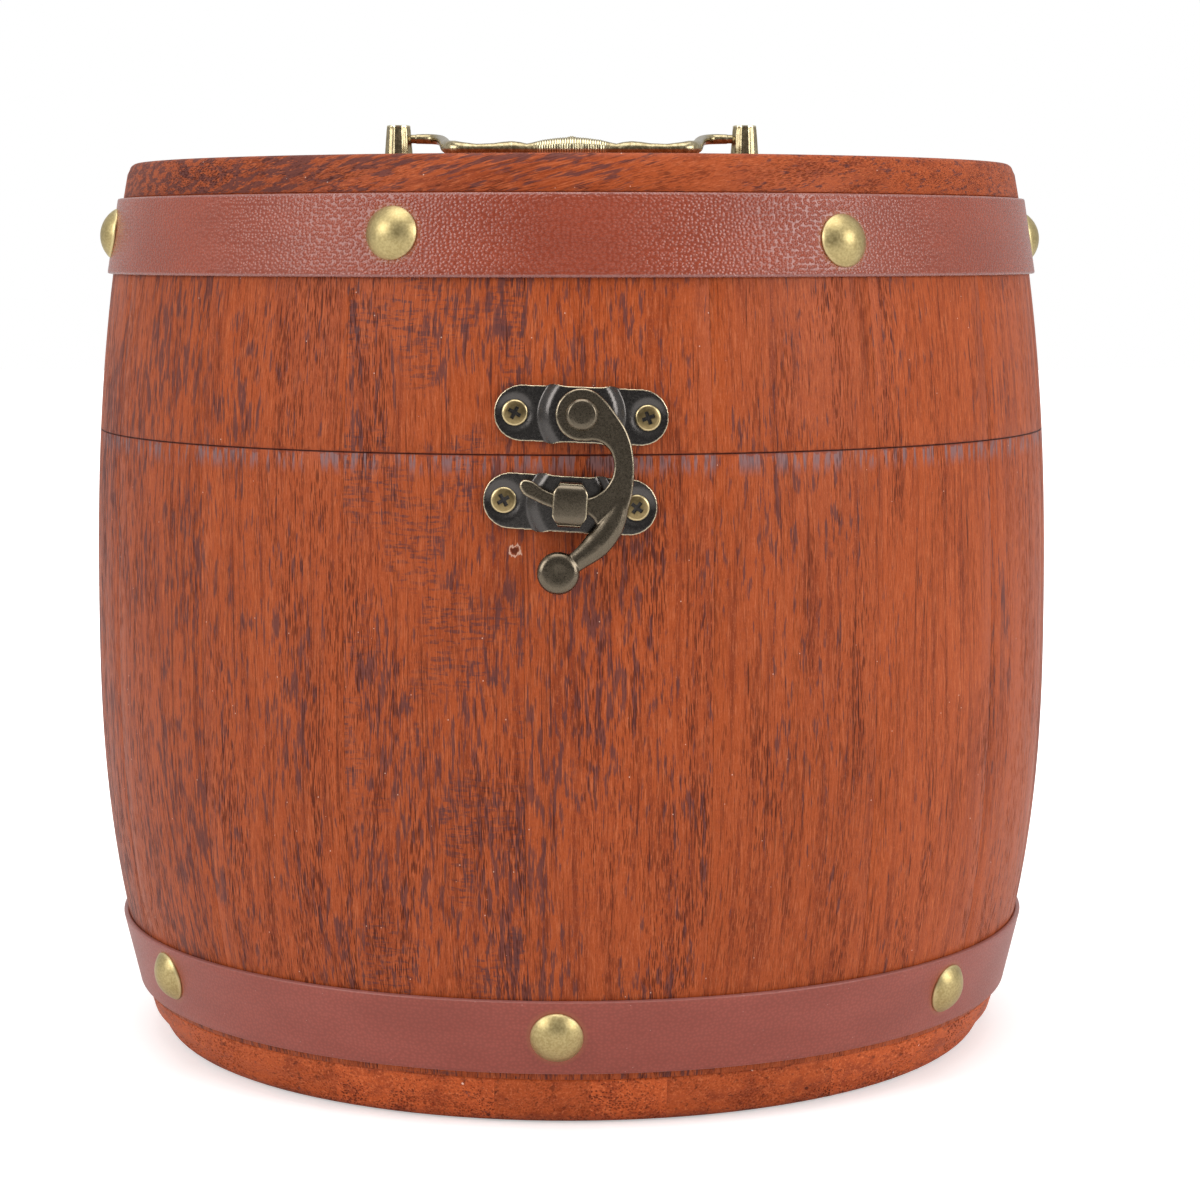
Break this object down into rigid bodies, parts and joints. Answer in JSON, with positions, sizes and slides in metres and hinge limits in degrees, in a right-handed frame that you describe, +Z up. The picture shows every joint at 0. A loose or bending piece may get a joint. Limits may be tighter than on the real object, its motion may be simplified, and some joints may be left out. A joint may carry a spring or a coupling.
{
  "type": "wooden tea barrel",
  "caption": "Bulging wooden stave barrel for tea with a hinged lid, tacked leather straps, a swing latch at the front and a folding bail handle on top.",
  "frame": {"origin": "middle of the foot's flat underside", "axes": "+Z up along the barrel's axis, -Y out of the front where the latch is, +X to the right seen from the front"},
  "size_m": [0.176, 0.184, 0.1674],
  "materials": {
    "stave_wood": "reddish brown stain, satin, open pores",
    "board_wood": "reddish brown stain, satin, end grain at the edge",
    "strap_leather": "red-brown, finely pebbled, satin",
    "tack_brass": "antique brass",
    "dark_bronze": "dark antique bronze, worn brighter at edges",
    "screw_brass": "antique brass",
    "handle_brass": "pale antique brass"
  },
  "bodies": {
    "barrel": {"bottom_board": "board_wood", "body_stave_01": "stave_wood", "body_stave_02": "stave_wood", "body_stave_03": "stave_wood", "body_stave_04": "stave_wood", "body_stave_05": "stave_wood", "body_stave_06": "stave_wood", "body_stave_07": "stave_wood", "body_stave_08": "stave_wood", "body_stave_09": "stave_wood", "body_stave_10": "stave_wood", "body_stave_11": "stave_wood", "body_stave_12": "stave_wood", "body_stave_13": "stave_wood", "body_stave_14": "stave_wood", "body_stave_15": "stave_wood", "body_stave_16": "stave_wood", "body_stave_17": "stave_wood", "body_stave_18": "stave_wood", "body_strap": "strap_leather", "body_strap_tack_1": "tack_brass", "body_strap_tack_2": "tack_brass", "body_strap_tack_3": "tack_brass", "body_strap_tack_4": "tack_brass", "body_strap_tack_5": "tack_brass", "body_strap_tack_6": "tack_brass", "body_strap_tack_7": "tack_brass", "keeper_plate": "dark_bronze", "keeper_loop": "dark_bronze", "keeper_screw_left": "screw_brass", "keeper_screw_right": "screw_brass", "hinge_leaf_body": "dark_bronze", "hinge_pin": "dark_bronze", "hinge_screw_lower_left": "screw_brass", "hinge_screw_lower_right": "screw_brass"},
    "lid": {"lid_board": "board_wood", "lid_stave_ring": "stave_wood", "lid_strap": "strap_leather", "lid_strap_tack_1": "tack_brass", "lid_strap_tack_2": "tack_brass", "lid_strap_tack_3": "tack_brass", "lid_strap_tack_4": "tack_brass", "lid_strap_tack_5": "tack_brass", "lid_strap_tack_6": "tack_brass", "lid_strap_tack_7": "tack_brass", "latch_plate": "dark_bronze", "latch_rivet": "dark_bronze", "latch_screw_left": "screw_brass", "latch_screw_right": "screw_brass", "handle_post_left": "handle_brass", "handle_post_right": "handle_brass", "handle_screw_left": "screw_brass", "handle_screw_right": "screw_brass", "hinge_leaf_lid": "dark_bronze", "hinge_screw_upper_left": "screw_brass", "hinge_screw_upper_right": "screw_brass"},
    "hook": {"latch_hook": "dark_bronze"},
    "bail": {"handle_bail": "handle_brass"}
  },
  "joints": [
    {"name": "lid_hinge", "type": "hinge", "parent": "barrel", "child": "lid", "pos_m": [0, 0.08794, 0.11235], "axis": [-1, 0, 0], "range_deg": [0, 165]},
    {"name": "hook_pivot", "type": "hinge", "parent": "lid", "child": "hook", "pos_m": [0.0015, -0.08661, 0.1186], "axis": [0.0173, -0.9969, 0.0771], "range_deg": [0, 135]},
    {"name": "bail_pivot", "type": "hinge", "parent": "lid", "child": "bail", "pos_m": [0, 0, 0.1649], "axis": [-1, 0, 0], "range_deg": [0, 190]}
  ]
}
